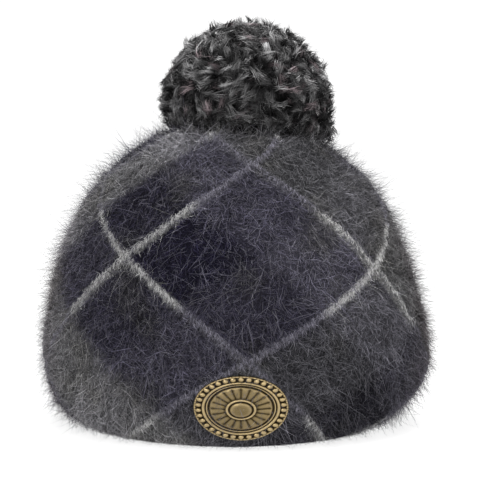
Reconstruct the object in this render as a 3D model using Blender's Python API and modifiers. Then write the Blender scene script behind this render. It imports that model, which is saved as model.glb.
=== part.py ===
"""A knitted pompom hat at its real size: a soft brushed dome that stands on its rim, with a fur pompom in a
gathered seat on top and an oval brass badge clasped through the knit at the front.

Metres, +Z up, the front towards -Y, the wearer's left towards +X. The rim stands on Z = 0.
"""

import math
import random
from collections import namedtuple

import bmesh
import bpy
from mathutils import Matrix, Vector

# Crown: the dome's height without the pompom, and its reach from the middle at the widest section
CROWN_HEIGHT = 0.163
CROWN_HALF_WIDTH = 0.104
CROWN_FRONT_REACH = 0.112
CROWN_BACK_REACH = 0.116
KNIT_WALL = 0.0042
CROWN_SEGMENTS = 48
RINGS_PER_SECTION = 2
HEM_BELOW_RIM = 0.003

# One row for each section of the dome, from the rim up: its height, and its reach to the side, front and back
# and its sideways lean, as shares of CROWN_HEIGHT, CROWN_HALF_WIDTH, the two reaches and CROWN_HALF_WIDTH
Section = namedtuple("Section", "height side front back lean")
SECTIONS = (
    Section(0.000, 0.740, 0.850, 0.850, -0.006),
    Section(0.032, 0.830, 0.910, 0.905, -0.006),
    Section(0.090, 0.925, 0.965, 0.960, 0.002),
    Section(0.200, 1.000, 1.000, 1.000, 0.014),
    Section(0.330, 0.994, 1.000, 1.006, 0.006),
    Section(0.470, 0.954, 0.975, 0.985, -0.002),
    Section(0.600, 0.890, 0.925, 0.930, -0.008),
    Section(0.720, 0.798, 0.845, 0.845, 0.000),
    Section(0.820, 0.685, 0.735, 0.730, 0.002),
    Section(0.900, 0.545, 0.590, 0.585, 0.000),
    Section(0.960, 0.400, 0.435, 0.430, 0.000),
    Section(0.992, 0.240, 0.260, 0.255, 0.000),
    Section(1.000, 0.000, 0.000, 0.000, 0.000),
)

# Soft dents and bulges of the dome. azimuth is in degrees from the front towards +X, height is a share of
# CROWN_HEIGHT, wide is in degrees, tall is a share of CROWN_HEIGHT, and depth is a share of CROWN_HALF_WIDTH,
# inwards for a dent and negative for a bulge. A dent fades out at DENT_FADE times its width and height
Dent = namedtuple("Dent", "azimuth height wide tall depth")
DENT_FADE = 2.0
DENTS = (
    Dent(-58, 0.78, 24, 0.12, -0.014),
    Dent(50, 0.84, 22, 0.10, 0.020),
    Dent(-112, 0.50, 20, 0.14, 0.012),
    Dent(82, 0.24, 26, 0.12, -0.007),
    Dent(128, 0.58, 24, 0.12, 0.022),
    Dent(176, 0.66, 46, 0.12, 0.016),
    Dent(168, 0.40, 40, 0.14, -0.012),
    Dent(-142, 0.74, 20, 0.12, 0.020),
    Dent(26, 0.52, 16, 0.14, 0.010),
    Dent(-84, 0.07, 30, 0.09, -0.022),
)

# Gathers that run out from under the pompom and fade on the dome
GATHER_COUNT = 12
GATHER_DEPTH = 0.0018
GATHER_REACH = 0.034

# Pompom: a fur ball of locks on a round head, pressed into a seat in the top of the crown
POMPOM_RADIUS = 0.0465
POMPOM_HEAD_RADIUS = 0.0380
POMPOM_PRESS = 0.0150
POMPOM_SIDE_SHIFT = 0.0070
POMPOM_BACK_SHIFT = 0.0060
SEAT_RADIUS = 0.044
SEAT_FLOOR_RADIUS = 0.022
SEAT_DEPTH = 0.011
SEAT_GAP = 0.0004
UPPER_HALF = 0.50
LOCK_COUNT = 80
LOCK_SIDES = 5
LOCK_SHAPES = 4
LOCK_BEND_SHARE = 0.62
LOCK_BASE_RADIUS = 0.0090
LOCK_TIP_SHARE = 0.36
LOCK_ROOT_DEPTH = 0.010
LOCK_CURL = 0.0036
LOCK_CURL_SPREAD = 0.40
LOCK_LEAN_DEG = 14
SHORTEST_LOCK = 0.90
LONGEST_LOCK = 1.04
LOWEST_LOCK_DEG = -36
FUR_SEED = 7

# Badge: an oval brass boss with a ring of beads and a fluted dome, on a soldered post. SOLDER_SINK is how far
# into the plate, as a share of it, whatever is soldered to it reaches
SOLDER_SINK = 0.40
BADGE_SIDES = 56
BADGE_HALF_WIDTH = 0.0240
BADGE_HALF_HEIGHT = 0.0170
BADGE_PLATE = 0.0018
BADGE_HEIGHT = 0.0225
BADGE_TILT_SHARE = 0.50
BADGE_SIDE_SHIFT = 0.004
BADGE_BEND_RADIUS = 0.110
BADGE_STRIPS = 12
BADGE_GAP = 0.0004
BADGE_SEAT_MARGIN = 0.012
BADGE_SEAT_FADE = 0.60
PROFILE_HALVINGS = 13
BEAD_COUNT = 26
BEAD_RADIUS = 0.0016
BEAD_INSET = 0.0024
BEAD_SIDES = 8
BEAD_RINGS = 4
MOULDING_WIDTH = 0.0011
MOULDING_INSET = 0.0054
MOULDING_SIDES = 28
MOULDING_ROUND = 6
DOME_INSET = 0.0072
DOME_RISE = 0.0030
FLUTE_COUNT = 20
FLUTE_DEPTH = 0.0006
FLUTES_START = 0.50
DOME_RINGS = 8
CABOCHON_HALF_WIDTH = 0.0048
CABOCHON_HALF_HEIGHT = 0.0036
CABOCHON_RISE = 0.0022
CABOCHON_SINK = 0.30
CABOCHON_SIDES = 16
POST_RADIUS = 0.0010
POST_CLEARANCE = 0.0005
POST_SIDES = 12

# Clasp: the turned disc inside the hat that holds the post
CLASP_RADIUS = 0.0060
CLASP_PLATE = 0.0012
CLASP_HUB_RADIUS = 0.0026
CLASP_HUB_LENGTH = 0.0030
CLASP_GAP = 0.0007
CLASP_BORE_CLEARANCE = 0.0004
CLASP_SIDES = 14

CHARCOAL_KNIT = (0.055, 0.054, 0.066, 1.0)
DARK_FUR = (0.030, 0.030, 0.031, 1.0)
ANTIQUE_BRASS = (0.36, 0.27, 0.13, 1.0)
DULL_STEEL = (0.42, 0.41, 0.39, 1.0)


def smooth(share):
    """Eases a share from 0 to 1."""
    share = min(1.0, max(0.0, share))
    return share * share * (3 - 2 * share)


def bump(offset):
    """1 at an offset of 0, fading to 0 at an offset of 1."""
    return 1 - smooth(abs(offset))


def section_at(position):
    """The section at a place in the table, where 0 is the rim and the last row's number is the apex."""
    last = len(SECTIONS) - 1
    row = min(int(position), last - 1)
    t = position - row
    before = SECTIONS[max(row - 1, 0)]
    start = SECTIONS[row]
    end = SECTIONS[row + 1]
    after = SECTIONS[min(row + 2, last)]
    return Section(*(
        b + 0.5 * t * (c - a + t * (2 * a - 5 * b + 4 * c - d + t * (3 * (b - c) + d - a)))
        for a, b, c, d in zip(before, start, end, after)
    ))


def turned_from(azimuth, other):
    """The angle between two azimuths in degrees, the short way round."""
    return abs((azimuth - other + 180) % 360 - 180)


def dented(section, azimuth):
    """How far the dents move the dome inwards at a place, in metres."""
    total = 0.0
    for dent in DENTS:
        aside = turned_from(azimuth, dent.azimuth) / dent.wide
        above = (section.height - dent.height) / dent.tall
        total += dent.depth * bump(aside / DENT_FADE) * bump(above / DENT_FADE)
    return total * CROWN_HALF_WIDTH


def seat_centre():
    return Vector((POMPOM_SIDE_SHIFT, POMPOM_BACK_SHIFT))


def seated(point):
    """Lowers the top of the dome into the pompom's seat, with gathers round its edge."""
    out = point.to_2d() - seat_centre()
    distance = out.length
    drop = 1 - smooth((distance - SEAT_FLOOR_RADIUS) / (SEAT_RADIUS - SEAT_FLOOR_RADIUS))
    past_edge = (distance - SEAT_RADIUS) / GATHER_REACH
    if point.z > CROWN_HEIGHT * UPPER_HALF:
        pleat = math.cos(GATHER_COUNT * math.atan2(out.y, out.x))
        drop_here = SEAT_DEPTH * drop + GATHER_DEPTH * pleat * bump(past_edge)
        return point - Vector((0, 0, drop_here))
    return point


def front_reach(height):
    """How far the crown's front stands out at a height in metres, before its dents."""
    low, high = 0.0, len(SECTIONS) - 1.0
    for _ in range(PROFILE_HALVINGS):
        middle = (low + high) / 2
        if section_at(middle).height * CROWN_HEIGHT < height:
            low = middle
        else:
            high = middle
    return section_at(low).front * CROWN_FRONT_REACH


def badge_frame():
    """The badge's own axes: X to the wearer's left, Y up the front and Z out of the knit."""
    top = front_reach(BADGE_HEIGHT + BADGE_HALF_HEIGHT)
    bottom = front_reach(BADGE_HEIGHT - BADGE_HALF_HEIGHT)
    tilt = BADGE_TILT_SHARE * math.atan2(top - bottom, 2 * BADGE_HALF_HEIGHT)
    place = Matrix.Translation((BADGE_SIDE_SHIFT, -front_reach(BADGE_HEIGHT), BADGE_HEIGHT))
    return place @ Matrix.Rotation(math.pi / 2 + tilt, 4, "X")


def bent(point):
    """Wraps a flat badge's point round the front of the crown."""
    turn = point.x / BADGE_BEND_RADIUS
    out = BADGE_BEND_RADIUS + point.z
    return Vector((out * math.sin(turn), point.y, out * math.cos(turn) - BADGE_BEND_RADIUS))


def behind_badge(point, frame, inverse):
    """Draws the front of the crown flat against the back of the badge."""
    local = inverse @ point
    if local.z < -CROWN_FRONT_REACH:
        return point
    across = local.x / (BADGE_HALF_WIDTH + BADGE_SEAT_MARGIN)
    up = local.y / (BADGE_HALF_HEIGHT + BADGE_SEAT_MARGIN)
    away = math.hypot(across, up)
    hold = 1 - smooth((away - 1) / BADGE_SEAT_FADE)
    inside = bent(Vector((local.x, local.y, 0))).z - local.z
    if inside > 0:
        hold *= bump(away)
    local.z += hold * inside
    return frame @ local


def crown_point(position, azimuth):
    """A point of the crown's outer face."""
    section = section_at(position)
    turn = math.radians(azimuth)
    reach = section.front * CROWN_FRONT_REACH if abs(azimuth) < 90 else section.back * CROWN_BACK_REACH
    out = Vector((section.side * CROWN_HALF_WIDTH * math.sin(turn), -reach * math.cos(turn)))
    if out.length > 0:
        out -= out.normalized() * min(dented(section, azimuth), out.length)
    point = Vector((out.x + section.lean * CROWN_HALF_WIDTH, out.y, section.height * CROWN_HEIGHT))
    return seated(point)


def crown_rings():
    """The rings of the outer face from the rim up, without the apex, and the apex."""
    frame = badge_frame()
    inverse = frame.inverted()
    steps = (len(SECTIONS) - 1) * RINGS_PER_SECTION
    azimuths = [360 * i / CROWN_SEGMENTS - 180 for i in range(CROWN_SEGMENTS)]
    rings = [
        [behind_badge(crown_point(step / RINGS_PER_SECTION, azimuth), frame, inverse) for azimuth in azimuths]
        for step in range(steps)
    ]
    hem = [Vector((point.x, point.y, -HEM_BELOW_RIM)) for point in rings[0]]
    return [hem, *rings], crown_point(steps / RINGS_PER_SECTION, 0)


def lofted(name, rings, apex, raised=0.0, closed=False):
    """A dome through rings of points, open below or closed by a flat face."""
    shape = bmesh.new()
    lift = Vector((0, 0, raised))
    loops = [[shape.verts.new(point + lift) for point in ring] for ring in rings]
    top = shape.verts.new(apex + lift)
    count = len(loops[0])
    for lower, upper in zip(loops, loops[1:]):
        for i in range(count):
            j = (i + 1) % count
            shape.faces.new((lower[i], lower[j], upper[j]))
            shape.faces.new((lower[i], upper[j], upper[i]))
    for i in range(count):
        shape.faces.new((loops[-1][i], loops[-1][(i + 1) % count], top))
    if closed:
        shape.faces.new(reversed(loops[0]))
    return finished(name, shape)


def finished(name, shape):
    """Turns a bmesh into a mesh."""
    mesh = bpy.data.meshes.new(name)
    shape.to_mesh(mesh)
    shape.free()
    return mesh


def placed(name, mesh, collection, material=None):
    item = bpy.data.objects.new(name, mesh)
    collection.objects.link(item)
    if material:
        mesh.materials.append(material)
        mesh.shade_smooth()
    else:
        item.hide_render = True
        item.display_type = "WIRE"
    return item


def settled(item):
    """Replaces an object's mesh by what its modifiers make of it."""
    bpy.context.view_layer.update()
    graph = bpy.context.evaluated_depsgraph_get()
    mesh = bpy.data.meshes.new_from_object(item.evaluated_get(graph))
    item.modifiers.clear()
    item.data = mesh
    return item


def cut(item, cutter):
    modifier = item.modifiers.new("cut " + cutter.name, "BOOLEAN")
    modifier.operation = "DIFFERENCE"
    modifier.object = cutter


def joined(item, collection):
    modifier = item.modifiers.new("joined " + collection.name, "BOOLEAN")
    modifier.operation = "UNION"
    modifier.operand_type = "COLLECTION"
    modifier.collection = collection


def finish(name, colour, roughness, metallic):
    material = bpy.data.materials.new(name)
    material.use_nodes = True
    shader = material.node_tree.nodes["Principled BSDF"]
    shader.inputs["Base Color"].default_value = colour
    shader.inputs["Roughness"].default_value = roughness
    shader.inputs["Metallic"].default_value = metallic
    material.diffuse_color = colour
    return material


def make_crown(parts, cutters):
    """The knitted dome: one wall, trimmed flat where the rim stands, with a hole for the badge's post."""
    rings, apex = crown_rings()
    knit = finish("brushed knit", CHARCOAL_KNIT, 0.95, 0)
    crown = placed("crown", lofted("crown", rings, apex), parts, knit)
    wall = crown.modifiers.new("wall", "SOLIDIFY")
    wall.thickness = KNIT_WALL
    wall.offset = -1
    wall.use_even_offset = True

    wide = 4 * (CROWN_HALF_WIDTH + CROWN_BACK_REACH)
    below = bmesh.new()
    depth = 4 * HEM_BELOW_RIM
    bmesh.ops.create_cube(
        below, matrix=Matrix.Translation((0, 0, -depth / 2)) @ Matrix.Diagonal((wide, wide, depth, 1)),
    )
    cut(crown, placed("floor_trim", finished("floor_trim", below), cutters))

    hole = bmesh.new()
    bmesh.ops.create_cone(
        hole, cap_ends=True, segments=POST_SIDES, radius1=POST_RADIUS + POST_CLEARANCE,
        radius2=POST_RADIUS + POST_CLEARANCE, depth=6 * KNIT_WALL, matrix=badge_frame(),
    )
    cut(crown, placed("post_hole", finished("post_hole", hole), cutters))
    return crown


def lock_mesh(number, rng):
    """A lock of fur, 1 long in Z before it is scaled: a tapered strip that curls over towards its tip."""
    shape = bmesh.new()
    bmesh.ops.create_cone(
        shape, cap_ends=True, segments=LOCK_SIDES, radius1=1, radius2=1, depth=1,
        matrix=Matrix.Translation((0, 0, 0.5)),
    )
    bmesh.ops.bisect_plane(
        shape, geom=shape.verts[:] + shape.edges[:] + shape.faces[:],
        plane_co=(0, 0, LOCK_BEND_SHARE), plane_no=(0, 0, 1),
    )
    length = POMPOM_RADIUS - POMPOM_HEAD_RADIUS + LOCK_ROOT_DEPTH
    curl = LOCK_CURL * (1 + LOCK_CURL_SPREAD * rng.uniform(-1, 1))
    for vertex in shape.verts:
        height = vertex.co.z
        taper = math.sqrt(max(0.0, 1 - height * height))
        wide = LOCK_BASE_RADIUS * (LOCK_TIP_SHARE + (1 - LOCK_TIP_SHARE) * taper)
        vertex.co = Vector((vertex.co.x * wide + curl * height * height, vertex.co.y * wide, height * length))
    return finished(f"lock_{number}", shape)


def pompom_centre():
    height = CROWN_HEIGHT - SEAT_DEPTH - POMPOM_PRESS + POMPOM_HEAD_RADIUS
    return Vector((POMPOM_SIDE_SHIFT, POMPOM_BACK_SHIFT, height))


def make_pompom(parts, cutters):
    """Locks of fur, evenly spread by the golden angle, fused to a round head and shaped to the seat below."""
    rng = random.Random(FUR_SEED)
    centre = pompom_centre()
    head = bmesh.new()
    bmesh.ops.create_icosphere(
        head, subdivisions=3, radius=POMPOM_HEAD_RADIUS, matrix=Matrix.Translation(centre),
    )
    pompom = placed("pompom", finished("pompom", head), parts, finish("dark fur", DARK_FUR, 0.9, 0))

    locks = bpy.data.collections.new("pompom locks")
    cutters.children.link(locks)
    shapes = [lock_mesh(number, rng) for number in range(LOCK_SHAPES)]
    golden_angle = math.pi * (3 - math.sqrt(5))
    lowest = math.sin(math.radians(LOWEST_LOCK_DEG))
    for number in range(LOCK_COUNT):
        rise = lowest + (1 - lowest) * (number + 0.5) / LOCK_COUNT
        turn = number * golden_angle
        flat = math.sqrt(1 - rise * rise)
        out = Vector((flat * math.cos(turn), flat * math.sin(turn), rise))
        lean = math.radians(LOCK_LEAN_DEG) * rng.uniform(-1, 1)
        length = rng.uniform(SHORTEST_LOCK, LONGEST_LOCK)
        facing = out.to_track_quat("Z", "Y").to_matrix().to_4x4()
        spin = Matrix.Rotation(rng.uniform(0, 2 * math.pi), 4, "Z")
        lock = placed(f"lock_{number:03d}", shapes[number % LOCK_SHAPES], locks)
        root = centre + out * (POMPOM_HEAD_RADIUS - LOCK_ROOT_DEPTH)
        leaning = Matrix.Rotation(lean, 4, "X") @ Matrix.Diagonal((1, 1, length, 1))
        lock.matrix_world = Matrix.Translation(root) @ facing @ spin @ leaning
    joined(pompom, locks)

    rings, apex = crown_rings()
    cut(pompom, placed("seat_form", lofted("seat_form", rings, apex, SEAT_GAP, closed=True), cutters))
    return pompom


def oval(shape, half_width, half_height, bottom, top, segments):
    """Adds an oval slab."""
    middle = Matrix.Translation((0, 0, (top + bottom) / 2))
    bmesh.ops.create_cone(
        shape, cap_ends=True, segments=segments, radius1=1, radius2=1, depth=top - bottom,
        matrix=middle @ Matrix.Diagonal((half_width, half_height, 1, 1)),
    )


def oval_dome(shape, half_width, half_height, rise, bottom, segments, rings, flutes=0, depth=0.0):
    """Adds the upper half of a flattened ball on a short oval foot, with flutes that run to its top."""
    made = bmesh.ops.create_uvsphere(shape, u_segments=segments, v_segments=rings, radius=1)["verts"]
    for vertex in made:
        turn = math.atan2(vertex.co.y, vertex.co.x)
        outward = math.hypot(vertex.co.x, vertex.co.y)
        height = max(vertex.co.z, 0.0) * rise
        groove = depth * (0.5 - 0.5 * math.cos(flutes * turn)) * smooth(outward / FLUTES_START)
        at_foot = vertex.co.z < math.sin(math.pi / (2 * DOME_RINGS))
        level = bottom if at_foot and vertex.co.z < 0 else BADGE_PLATE + height - (0 if at_foot else groove)
        vertex.co = Vector((vertex.co.x * half_width, vertex.co.y * half_height, level))


def moulding(shape, half_width, half_height):
    """Adds a raised oval moulding, half of it sunk into the plate."""
    loops = []
    corners = [2 * math.pi * k / MOULDING_ROUND for k in range(MOULDING_ROUND)]
    for i in range(MOULDING_SIDES):
        turn = 2 * math.pi * i / MOULDING_SIDES
        out = Vector((half_width * math.cos(turn), half_height * math.sin(turn), BADGE_PLATE))
        side = Vector((math.cos(turn), math.sin(turn), 0))
        loops.append([
            shape.verts.new(out + MOULDING_WIDTH * (side * math.cos(a) + Vector((0, 0, math.sin(a)))))
            for a in corners
        ])
    for i, loop in enumerate(loops):
        after = loops[(i + 1) % MOULDING_SIDES]
        for k in range(MOULDING_ROUND):
            next_k = (k + 1) % MOULDING_ROUND
            shape.faces.new((loop[k], after[k], after[next_k], loop[next_k]))


def make_badge(parts, cutters):
    """The oval boss in cast brass, soldered to its post, wrapped round the front of the crown."""
    ornaments = bpy.data.collections.new("badge ornaments")
    cutters.children.link(ornaments)
    plate = bmesh.new()
    oval(plate, BADGE_HALF_WIDTH, BADGE_HALF_HEIGHT, 0, BADGE_PLATE, BADGE_SIDES)
    for number in range(1, BADGE_STRIPS):
        bmesh.ops.bisect_plane(
            plate, geom=plate.verts[:] + plate.edges[:] + plate.faces[:],
            plane_co=(BADGE_HALF_WIDTH * (2 * number / BADGE_STRIPS - 1), 0, 0), plane_no=(1, 0, 0),
        )
    badge = placed("badge", finished("badge", plate), parts, finish("antique brass", ANTIQUE_BRASS, 0.38, 1))

    sunk = BADGE_PLATE * SOLDER_SINK
    for number in range(BEAD_COUNT):
        turn = 2 * math.pi * (number + 0.5) / BEAD_COUNT
        across = (BADGE_HALF_WIDTH - BEAD_INSET) * math.cos(turn)
        up = (BADGE_HALF_HEIGHT - BEAD_INSET) * math.sin(turn)
        bead = bmesh.new()
        bmesh.ops.create_uvsphere(
            bead, u_segments=BEAD_SIDES, v_segments=BEAD_RINGS, radius=BEAD_RADIUS,
            matrix=Matrix.Translation((across, up, BADGE_PLATE)),
        )
        placed(f"bead_{number:02d}", finished(f"bead_{number:02d}", bead), ornaments)

    ring = bmesh.new()
    moulding(ring, BADGE_HALF_WIDTH - MOULDING_INSET, BADGE_HALF_HEIGHT - MOULDING_INSET)
    placed("moulding", finished("moulding", ring), ornaments)

    dome = bmesh.new()
    oval_dome(
        dome, BADGE_HALF_WIDTH - DOME_INSET, BADGE_HALF_HEIGHT - DOME_INSET, DOME_RISE, sunk,
        2 * FLUTE_COUNT, DOME_RINGS, FLUTE_COUNT, FLUTE_DEPTH,
    )
    placed("fluted_dome", finished("fluted_dome", dome), ornaments)

    cabochon = bmesh.new()
    bmesh.ops.create_uvsphere(
        cabochon, u_segments=CABOCHON_SIDES, v_segments=CABOCHON_SIDES // 2, radius=1,
        matrix=Matrix.Translation((0, 0, BADGE_PLATE + DOME_RISE - CABOCHON_RISE * CABOCHON_SINK))
        @ Matrix.Diagonal((CABOCHON_HALF_WIDTH, CABOCHON_HALF_HEIGHT, CABOCHON_RISE, 1)),
    )
    placed("cabochon", finished("cabochon", cabochon), ornaments)

    post = bmesh.new()
    back = -(KNIT_WALL + BADGE_GAP + CLASP_GAP + CLASP_HUB_LENGTH)
    bmesh.ops.create_cone(
        post, cap_ends=True, segments=POST_SIDES, radius1=POST_RADIUS, radius2=POST_RADIUS, depth=sunk - back,
        matrix=Matrix.Translation((0, 0, (sunk + back) / 2)),
    )
    placed("post", finished("post", post), ornaments)

    joined(badge, ornaments)
    settled(badge)
    for vertex in badge.data.vertices:
        vertex.co = bent(vertex.co + Vector((0, 0, BADGE_GAP)))
    badge.data.shade_smooth()
    badge.matrix_world = badge_frame()
    return badge


def make_clasp(parts):
    """The clasp inside the hat: a disc and hub, turned round the post."""
    bore = POST_RADIUS + CLASP_BORE_CLEARANCE
    face = -(KNIT_WALL + CLASP_GAP)
    profile = [
        (CLASP_RADIUS, face), (CLASP_RADIUS, face - CLASP_PLATE), (CLASP_HUB_RADIUS, face - CLASP_PLATE),
        (CLASP_HUB_RADIUS, face - CLASP_HUB_LENGTH), (bore, face - CLASP_HUB_LENGTH), (bore, face),
    ]
    shape = bmesh.new()
    corners = [shape.verts.new((x, 0, z)) for x, z in profile]
    for first, second in zip(corners, corners[1:] + corners[:1]):
        shape.edges.new((first, second))
    steel = finish("dull steel", DULL_STEEL, 0.4, 1)
    clasp = placed("badge_clasp", finished("badge_clasp", shape), parts, steel)
    turned = clasp.modifiers.new("turned", "SCREW")
    turned.steps = CLASP_SIDES
    turned.render_steps = CLASP_SIDES
    turned.use_merge_vertices = True
    turned.merge_threshold = 0.00001
    clasp.matrix_world = badge_frame()
    return clasp


def centre_on_rim_plane(parts):
    """Moves the hat sideways so that its middle, seen from above, is at the origin."""
    bpy.context.view_layer.update()
    graph = bpy.context.evaluated_depsgraph_get()
    corners = [
        item.evaluated_get(graph).matrix_world @ Vector(corner)
        for item in parts.objects for corner in item.evaluated_get(graph).bound_box
    ]
    middle = [(min(c[axis] for c in corners) + max(c[axis] for c in corners)) / 2 for axis in (0, 1)]
    shift = Matrix.Translation((-middle[0], -middle[1], 0))
    for item in bpy.data.objects:
        item.matrix_world = shift @ item.matrix_world


def main():
    for item in list(bpy.data.objects):
        bpy.data.objects.remove(item)
    parts = bpy.data.collections.new("pompom hat")
    cutters = bpy.data.collections.new("cutters")
    bpy.context.scene.collection.children.link(parts)
    bpy.context.scene.collection.children.link(cutters)
    make_crown(parts, cutters)
    make_pompom(parts, cutters)
    make_badge(parts, cutters)
    make_clasp(parts)
    centre_on_rim_plane(parts)


main()
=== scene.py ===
"""The looks of the knitted pompom hat: brushed knit in a bias check, a curly fur pompom and an antique brass
badge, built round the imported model. Metres, +Z up, the front towards -Y, the wearer's left towards +X.
"""

import math

import bpy
import numpy as np
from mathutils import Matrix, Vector
from mathutils.bvhtree import BVHTree


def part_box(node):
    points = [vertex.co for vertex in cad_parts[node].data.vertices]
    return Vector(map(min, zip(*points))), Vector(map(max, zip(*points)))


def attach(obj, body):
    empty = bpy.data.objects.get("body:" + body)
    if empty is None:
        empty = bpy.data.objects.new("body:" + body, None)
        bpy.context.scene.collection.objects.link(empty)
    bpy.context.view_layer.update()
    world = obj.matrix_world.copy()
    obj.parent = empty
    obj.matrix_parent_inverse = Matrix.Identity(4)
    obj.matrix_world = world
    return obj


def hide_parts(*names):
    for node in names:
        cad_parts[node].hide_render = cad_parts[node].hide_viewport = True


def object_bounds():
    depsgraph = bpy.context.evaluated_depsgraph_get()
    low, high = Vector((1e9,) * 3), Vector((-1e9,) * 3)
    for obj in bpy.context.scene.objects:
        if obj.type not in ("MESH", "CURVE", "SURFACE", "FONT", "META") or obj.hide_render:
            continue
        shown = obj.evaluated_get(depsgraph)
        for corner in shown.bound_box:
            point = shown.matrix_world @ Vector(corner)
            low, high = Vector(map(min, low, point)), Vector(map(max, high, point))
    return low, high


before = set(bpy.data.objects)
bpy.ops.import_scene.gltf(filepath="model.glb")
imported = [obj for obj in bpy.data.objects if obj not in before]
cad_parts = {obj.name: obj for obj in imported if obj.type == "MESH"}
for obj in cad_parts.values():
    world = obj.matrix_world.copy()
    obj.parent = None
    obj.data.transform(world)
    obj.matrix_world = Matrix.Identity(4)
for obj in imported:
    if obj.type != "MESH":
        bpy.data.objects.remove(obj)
CAD_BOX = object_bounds()
SEED = 20

# The camera stands level with the upper crown, as far off as a product photographer's
CAMERA_DISTANCE = 1.2
CAMERA_LENS = 157.4
CAMERA_ELEVATION_DEG = 8.6
CAMERA_PITCH_DEG = 3.96
CAMERA_SIDE = 0.0045

# The crown's visual grid: columns round the hat and rows from the rim to the middle of the seat
COLUMNS = 320
ROWS = 104
INNER_ROWS = 26
BELLY_HEIGHT = 0.050
RIM_LIFT = 0.0008
LOW_RAYS = 46
HIGH_RAYS = 130
FAR_OUT = 0.30
LONGEST_STEP = 0.012
FIRST_RELAXED_ROW = 2
OUTER_RELAX_ROUNDS = 5
INNER_RELAX_ROUNDS = 3
STITCHES_ROUND = 190
STITCH_ROW_HEIGHT = 0.0026
# Painted shade: the knit's outer face is darkened where the nap covers it
UNDER_NAP_PAINTED_SHADE = 0.66
INSIDE_SHADE = 0.9

# The check: lines cross five times round the hat, and 110 mm apart up the front. After the first three, the
# values are shares that turn, lean, spread, curve, droop and slant it
LINES_ROUND = 5
CHECK_MIDDLE_ARC = 0.104
CHECK_ARC_UNIT = 0.055
CHECK_TURN = -0.163
CHECK_LEAN = 0.050
CHECK_SPREAD = 0.150
CHECK_CURVE = 0.050
CHECK_DROOP = 0.245
CHECK_SLANT = 0.027
LINE_HALF_WIDTH = 0.0205
LINE_EDGE = 0.014
STITCHES_PER_CHECK = 34
WHITE_SWING = 0.25

# Yarns, in linear colour
YARNS = {
    "navy": (0.0115, 0.0102, 0.0225),
    "ink": (0.0340, 0.0318, 0.0480),
    "plum": (0.0560, 0.0525, 0.0740),
    "mauve": (0.0940, 0.0890, 0.1190),
    "coal": (0.0170, 0.0167, 0.0160),
    "slate": (0.1050, 0.1040, 0.1070),
    "ash": (0.1400, 0.1400, 0.1400),
    "pale": (0.3000, 0.2980, 0.2980),
    "white": (0.5000, 0.4980, 0.4920),
    "lavender": (0.2050, 0.1970, 0.2380),
    "frost": (0.2500, 0.2460, 0.2620),
    "rose": (0.0900, 0.0680, 0.0740),
}
# Half-bands between the lines, charted for five repeats each way
ACROSS_BANDS = "navy mauve ash ash slate plum coal ink pale plum".split()
ALONG_BANDS = "navy plum slate coal ash navy mauve ink pale ink".split()

# Fibres: how many, their length range in metres, width, and how they stand
NAP_PIECES = 3
NAP_COUNT = 46500
NAP_LENGTH = (0.0038, 0.0088)
NAP_WIDTH = 0.00032
# Nap fibres run from painted shade at the root, deep in the nap, to painted light at the tip
NAP_ROOT_PAINTED_SHADE = 0.10
NAP_TIP_PAINTED_LIGHT = 1.90
LINE_FIBRES = 26000
LINE_FIBRE_LENGTH = (0.0019, 0.0034)
HALO_COUNT = 34000
HALO_LENGTH = (0.0075, 0.0185)
HALO_WIDTH = 0.00017
HALO_SEGMENTS = 3
HALO_REACH = 0.0075
FROST_TINT = 0.20

# Pompom
TUFT_COUNT = 2500
STRANDS_PER_TUFT = 22
TUFT_LENGTH = (0.0048, 0.0084)
TUFT_RADIUS = 0.00115
TUFT_SEGMENTS = 2
TUFT_GATHER = 0.70
POMPOM_CORE_SHARE = 0.84
LOWEST_ROOT = 0.83
SPIKE_SHARE = 0.13
SPIKE_RISE = 1.8
SPIKE_CURL = 0.4
SPIKE_REACH = 0.085
STRAND_WIDTH = (0.00032, 0.00056)
# TUFT_DARK is painted shade deep in the pile: the strands' root colour and the darkest a tip gets
TUFT_DARK = np.array((0.0036, 0.0035, 0.0038))
TUFT_LIGHT = np.array((0.600, 0.594, 0.600))
TUFT_BLUSH = np.array((1.20, 0.99, 1.03))
BLUSH_SHARE = 0.10
LOWEST_TUFT = -0.66
POMPOM_SWELL = 0.045
POMPOM_LEAN = 0.20
POMPOM_FUZZ = 3500
LOWEST_FUZZ = -0.55
FUZZ_ROOT_SHARE = 0.93
FUZZ_LENGTH = (0.003, 0.0068)
FUZZ_WIDTH = 0.00014
FUZZ_COLOUR = np.array((0.050, 0.049, 0.051))
CORE_COLUMNS = 96
CORE_ROWS = 48
# The core's near-black grey is painted shade deep among the tufts
CORE_PAINTED_SHADE = 0.0062

# Badge: an oval boss on the plane that the model's badge has
BADGE_HALF_WIDTH = 0.0240
BADGE_HALF_HEIGHT = 0.0170
BADGE_CENTRE_X = 0.00248
BADGE_BACK_Y = -0.10944
BADGE_HEIGHT = 0.0225
BADGE_TILT_DEG = 8.371
BADGE_BEND_RADIUS = 0.110
BADGE_GAP = 0.0004
BADGE_COLUMNS = 306
BADGE_RINGS = 80
PATINA_DEPTH = 0.00075
PLAIN_PATINA = 0.4
BADGE_NOTCHES = 84
BADGE_BEADS = 34
BADGE_FLUTES = 20
POST_SIDES = 16
POST_RADIUS = 0.0010
POST_TOP = 0.0008
POST_END = -0.0080
POST_TIP = -0.0084

# Stage
FLOOR_SIZE = 8
FLOOR_DROP = 0.0002
FLOOR_GREY = 0.20
FLOOR_GLOW = 0.82
STUDIO_LIGHT = 1.1


def ease(x):
    x = np.clip(x, 0.0, 1.0)
    return x * x * (3 - 2 * x)


def unit(v):
    return v / np.maximum(np.linalg.norm(v, axis=-1, keepdims=True), 1e-12)


def node_tree(name):
    """A ray-casting tree of one model node."""
    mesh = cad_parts[name].data
    return BVHTree.FromPolygons([v.co[:] for v in mesh.vertices], [p.vertices[:] for p in mesh.polygons])


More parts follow.
